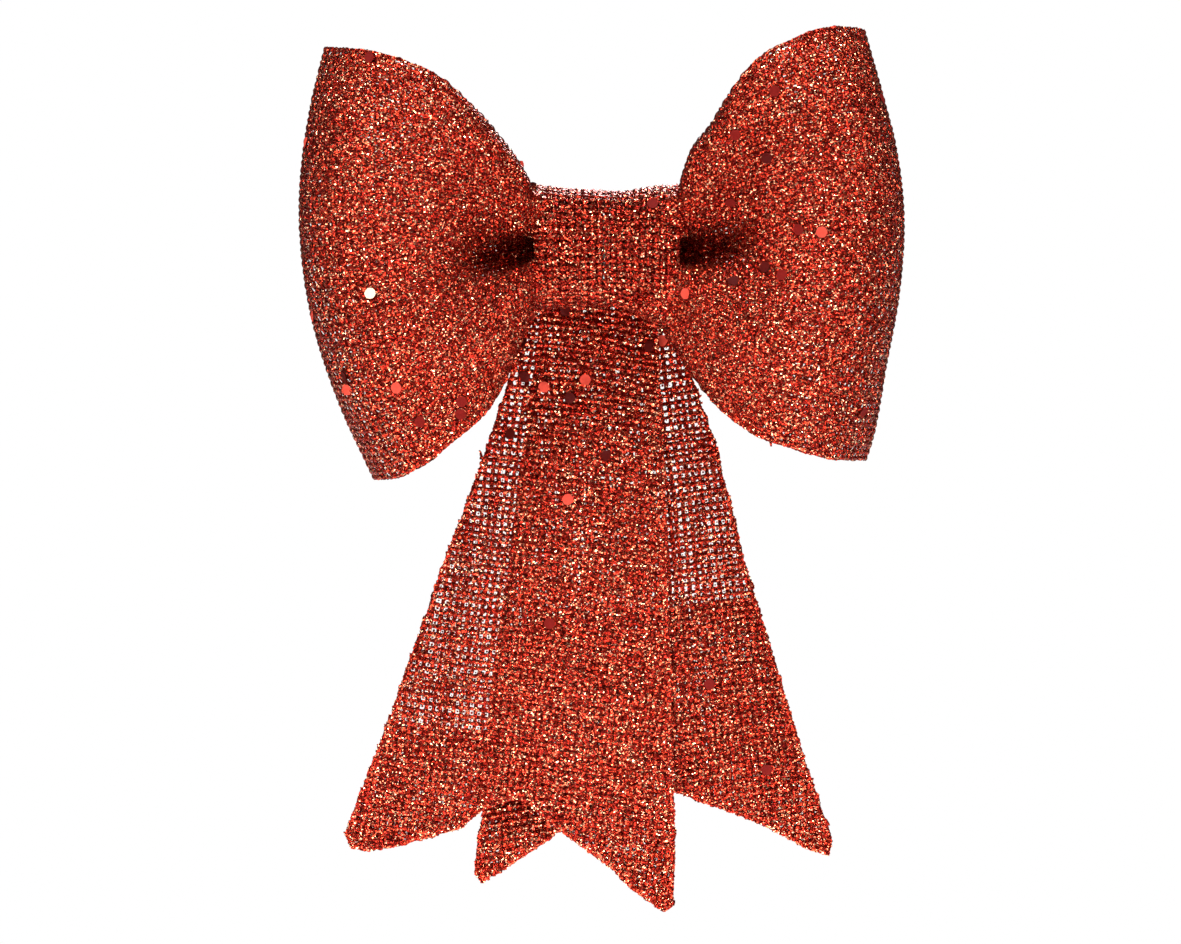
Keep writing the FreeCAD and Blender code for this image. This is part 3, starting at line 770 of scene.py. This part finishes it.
def plain_material(name, colour, roughness, metallic=0.0):
    """A material with a fine mottle in its colour and bump."""
    material, tree, shader = new_material(name)
    nodes, links = tree.nodes, tree.links
    place = nodes.new("ShaderNodeTexCoord")
    noise = nodes.new("ShaderNodeTexNoise")
    noise.inputs["Scale"].default_value = 900
    noise.inputs["Detail"].default_value = 4
    links.new(place.outputs["Object"], noise.inputs["Vector"])
    dark = tuple(0.8 * c for c in colour)
    light = tuple(min(1, 1.15 * c) for c in colour)
    mottle = ramp(tree, [(0.3, dark), (0.7, light)], noise.outputs["Fac"])
    links.new(mottle, shader.inputs["Base Color"])
    bump = nodes.new("ShaderNodeBump")
    bump.inputs["Strength"].default_value = 0.2
    bump.inputs["Distance"].default_value = 0.1 * MM
    links.new(noise.outputs["Fac"], bump.inputs["Height"])
    links.new(bump.outputs["Normal"], shader.inputs["Normal"])
    shader.inputs["Roughness"].default_value = roughness
    shader.inputs["Metallic"].default_value = metallic
    return material


def film_material(name, colour):
    """Satin plastic film of one confetti tone, with faint blotches."""
    material, tree, shader = new_material(name)
    place = tree.nodes.new("ShaderNodeTexCoord")
    noise = tree.nodes.new("ShaderNodeTexNoise")
    noise.inputs["Scale"].default_value = 1400
    tree.links.new(place.outputs["Object"], noise.inputs["Vector"])
    dark = tuple(0.85 * c for c in colour)
    blotches = ramp(tree, [(0.35, dark), (0.65, colour)], noise.outputs["Fac"])
    tree.links.new(blotches, shader.inputs["Base Color"])
    shader.inputs["Roughness"].default_value = 0.6
    shader.inputs["Specular IOR Level"].default_value = 0.06
    return material


# ---------------------------------------------------------------- making the bow

GLITTER = glitter_material()
HOT_MELT = plain_material("hot_melt", (0.80, 0.74, 0.60), 0.35)
STEEL = plain_material("soft_wire", (0.45, 0.44, 0.43), 0.4, 1.0)
TIE = plain_material("tie_strip", (0.40, 0.03, 0.02), 0.35)


def place_piece(piece, body, nodes):
    """The piece rides on a body and stands for CAD nodes there, which are hidden."""
    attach(piece, body)
    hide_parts(*nodes)


surfaces = {}
for shape, name in ((LEFT_LOOP, "left_loop"), (RIGHT_LOOP, "right_loop")):
    points, length = loop_points(shape, 8 + shape["side"])
    surfaces[name] = points
    from_fold = np.abs(np.linspace(-1, 1, len(points)))
    fill = np.repeat((1.9 * smoothstep(0.62, 0.25, from_fold) - 1.0)[:, None], points.shape[1], axis=1)
    parts = net_parts(points, np.ones(points.shape[:2], bool), 11 + shape["side"], fill)
    if shape is RIGHT_LOOP:
        parts += whiskers([(43.4, -50.4, -112, 2.6)], lambda x, z: nearest_front(points, x, z)[0][1], 15)
    loop = mesh_piece(name, parts, [GLITTER], smooth=False)
    place_piece(loop, "bow", ["loop_ribbon"])

points, length = band_points(19)
surfaces["knot_band_net"] = points
parts = net_parts(points, np.ones(points.shape[:2], bool), 20)
band = mesh_piece("knot_band_net", parts, [GLITTER], smooth=False)
place_piece(band, "bow", ["knot_band"])

for tail, body, seed in ((LEFT_TAIL, "left_tail", 31), (RIGHT_TAIL, "right_tail", 41)):
    for node, behind, twist in ((body, 0.0, 0.0), (body + "_backing", PLY_GAP, 2.4)):
        parts, area = tail_parts(tail, seed + round(10 * behind), behind, twist)
        piece = mesh_piece(node + "_net", parts, [GLITTER], smooth=False)
        place_piece(piece, body, [node])

BACK_FLAKE_TRIES = 9         # random places for flakes behind a tail, of which those off its net are dropped
bow_flakes, tail_flakes = [], {"left_tail": [], "right_tail": []}
for x, z, tone in FLAKES:
    on_left, on_right = (bool(inside(tail["outline"], np.array(x), np.array(z)))
                         for tail in (LEFT_TAIL, RIGHT_TAIL))
    if z < -BAND_HALF_HEIGHT and (on_left or on_right):
        tail, body = (LEFT_TAIL, "left_tail") if on_left else (RIGHT_TAIL, "right_tail")
        place = np.array([x, tail["y"] + tail_depth(x, z), z])
        tail_flakes[body].append((place, np.array([0, -1.0, 0]), tone))
    else:
        grid = "knot_band_net" if abs(x) < BAND_HALF_WIDTH else "left_loop" if x < 0 else "right_loop"
        bow_flakes.append((*nearest_front(surfaces[grid], x, z), tone))
rng = np.random.default_rng(61)
for name, count in (("left_loop", 16), ("right_loop", 16), ("knot_band_net", 2)):
    bow_flakes += back_flakes(surfaces[name], count, rng)
for tail, body in ((LEFT_TAIL, "left_tail"), (RIGHT_TAIL, "right_tail")):
    for _ in range(BACK_FLAKE_TRIES):
        x, z = rng.uniform(-45, 45), rng.uniform(-150, -35)
        if inside(tail["outline"], np.array(x), np.array(z)):
            row_x, row_z, slope = tail["backing"]
            doubled = z < row_z + slope * (x - row_x)
            place = np.array([x, tail["y"] + tail_depth(x, z) + (PLY_GAP if doubled else 0), z])
            tail_flakes[body].append((place, np.array([0, 1.0, 0]), rng.integers(1, 4)))
films = [film_material("film_cream", (0.84, 0.70, 0.50)), film_material("film_salmon", (0.66, 0.065, 0.04)),
         film_material("film_red", (0.16, 0.007, 0.005)), film_material("film_dark", (0.07, 0.003, 0.002))]
for body, places in (("bow", bow_flakes), *tail_flakes.items()):
    part, tones = flake_part(places, rng)
    flakes = mesh_piece(body + "_flakes", [part], films, smooth=False, tones=tones)
    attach(flakes, body)

rivet = mesh_piece("glue_rivet_blob", [rivet_part(71)], [HOT_MELT])
place_piece(rivet, "bow", ["tail_glue_rivet"])
bead = mesh_piece("band_glue_bead", [bead_part(*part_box("band_glue"), 73)], [HOT_MELT])
place_piece(bead, "bow", ["band_glue"])

saddle = mesh_piece("tie_saddle_strip", [strip_part(saddle_path(), 81)], [TIE])
place_piece(saddle, "bow", ["tie_saddle"])
for side, body in ((-1, "left_tie_leg"), (1, "right_tie_leg")):
    x = side * TIE_HALF_SPAN
    leg_end = TIE_HINGE_Y + TIE_LEG_LENGTH + TIE_END_MARGIN
    leg_line = np.linspace((x, TIE_JOIN_Y, TIE_HEIGHT), (x, leg_end, TIE_HEIGHT), 120)
    leg = mesh_piece(body + "_strip", [strip_part(leg_line, 83 + side)], [TIE])
    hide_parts(body)
    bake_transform(leg)

for node in ("waist_wire", "tie_saddle_wire", "left_tie_leg_wire", "right_tie_leg_wire"):
    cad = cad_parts[node]
    cad.data.materials.clear()
    cad.data.materials.append(STEEL)

# ---------------------------------------------------------------- studio

FLOOR_HALF, FLOOR_Z = 0.8, -0.34  # half the floor's side, and its height, m
VIEW_PLANE = -0.03           # y of an upright plane through the loops, m
VIEW_WIDTH = 0.3133          # of the picture in that plane, m
CAMERA_DISTANCE = 2.6        # from that plane, m
SENSOR_WIDTH = 36            # mm


def area_light(name, place, target, size, power):
    """A square soft light aimed at a point."""
    data = bpy.data.lights.new(name, "AREA")
    data.size = size
    data.energy = power
    light = bpy.data.objects.new(name, data)
    bpy.context.scene.collection.objects.link(light)
    light.location = place
    light.rotation_mode = "QUATERNION"
    light.rotation_quaternion = (Vector(target) - Vector(place)).to_track_quat("-Z", "Y")


def studio():
    """White surround, pale floor well below the bow, and plain soft lights."""
    scene = bpy.context.scene
    scene.view_settings.view_transform = "Standard"
    world = bpy.data.worlds.new("surround")
    world.use_nodes = True
    tree = world.node_tree
    background = tree.nodes["Background"]
    background.inputs["Color"].default_value = (0.06, 0.06, 0.06, 1)
    seen = tree.nodes.new("ShaderNodeBackground")
    seen.inputs["Color"].default_value = (1, 1, 1, 1)
    path = tree.nodes.new("ShaderNodeLightPath")
    mix = tree.nodes.new("ShaderNodeMixShader")
    tree.links.new(path.outputs["Is Camera Ray"], mix.inputs["Fac"])
    tree.links.new(background.outputs["Background"], mix.inputs[1])
    tree.links.new(seen.outputs["Background"], mix.inputs[2])
    tree.links.new(mix.outputs["Shader"], tree.nodes["World Output"].inputs["Surface"])
    scene.world = world

    mesh = bpy.data.meshes.new("floor")
    corners = ((-1, -1), (1, -1), (1, 1), (-1, 1))
    mesh.from_pydata([(FLOOR_HALF * i, FLOOR_HALF * j, FLOOR_Z) for i, j in corners], [], [(0, 1, 2, 3)])
    floor = bpy.data.objects.new("floor", mesh)
    scene.collection.objects.link(floor)
    mesh.materials.append(plain_material("pale_floor", (0.8, 0.8, 0.79), 0.7))

    area_light("key", (-0.05, -0.65, 1.08), (0, -0.02, -0.05), 0.3, 21.5)
    area_light("front_fill", (0.05, -1.1, 0.42), (0, 0, -0.05), 0.4, 2.3)
    area_light("low_front", (-0.03, -0.3, -0.32), (-0.01, 0, -0.14), 0.2, 2.3)
    area_light("rim_left", (-0.9, -0.2, 0.35), (0, 0, -0.03), 0.4, 5)
    area_light("rim_right", (0.9, -0.2, 0.35), (0, 0, -0.03), 0.4, 5)
    area_light("back", (0.1, 0.9, 0.6), (0, 0, -0.05), 0.4, 10)


def camera():
    """Level long-lens camera straight in front."""
    data = bpy.data.cameras.new("camera")
    data.sensor_width = SENSOR_WIDTH
    data.lens = SENSOR_WIDTH * CAMERA_DISTANCE / VIEW_WIDTH
    data.clip_end = 50
    cam = bpy.data.objects.new("camera", data)
    bpy.context.scene.collection.objects.link(cam)
    cam.location = (-0.0042, VIEW_PLANE - CAMERA_DISTANCE, -0.0597)
    cam.rotation_euler = (math.pi / 2, 0, 0)
    bpy.context.scene.camera = cam


studio()
camera()
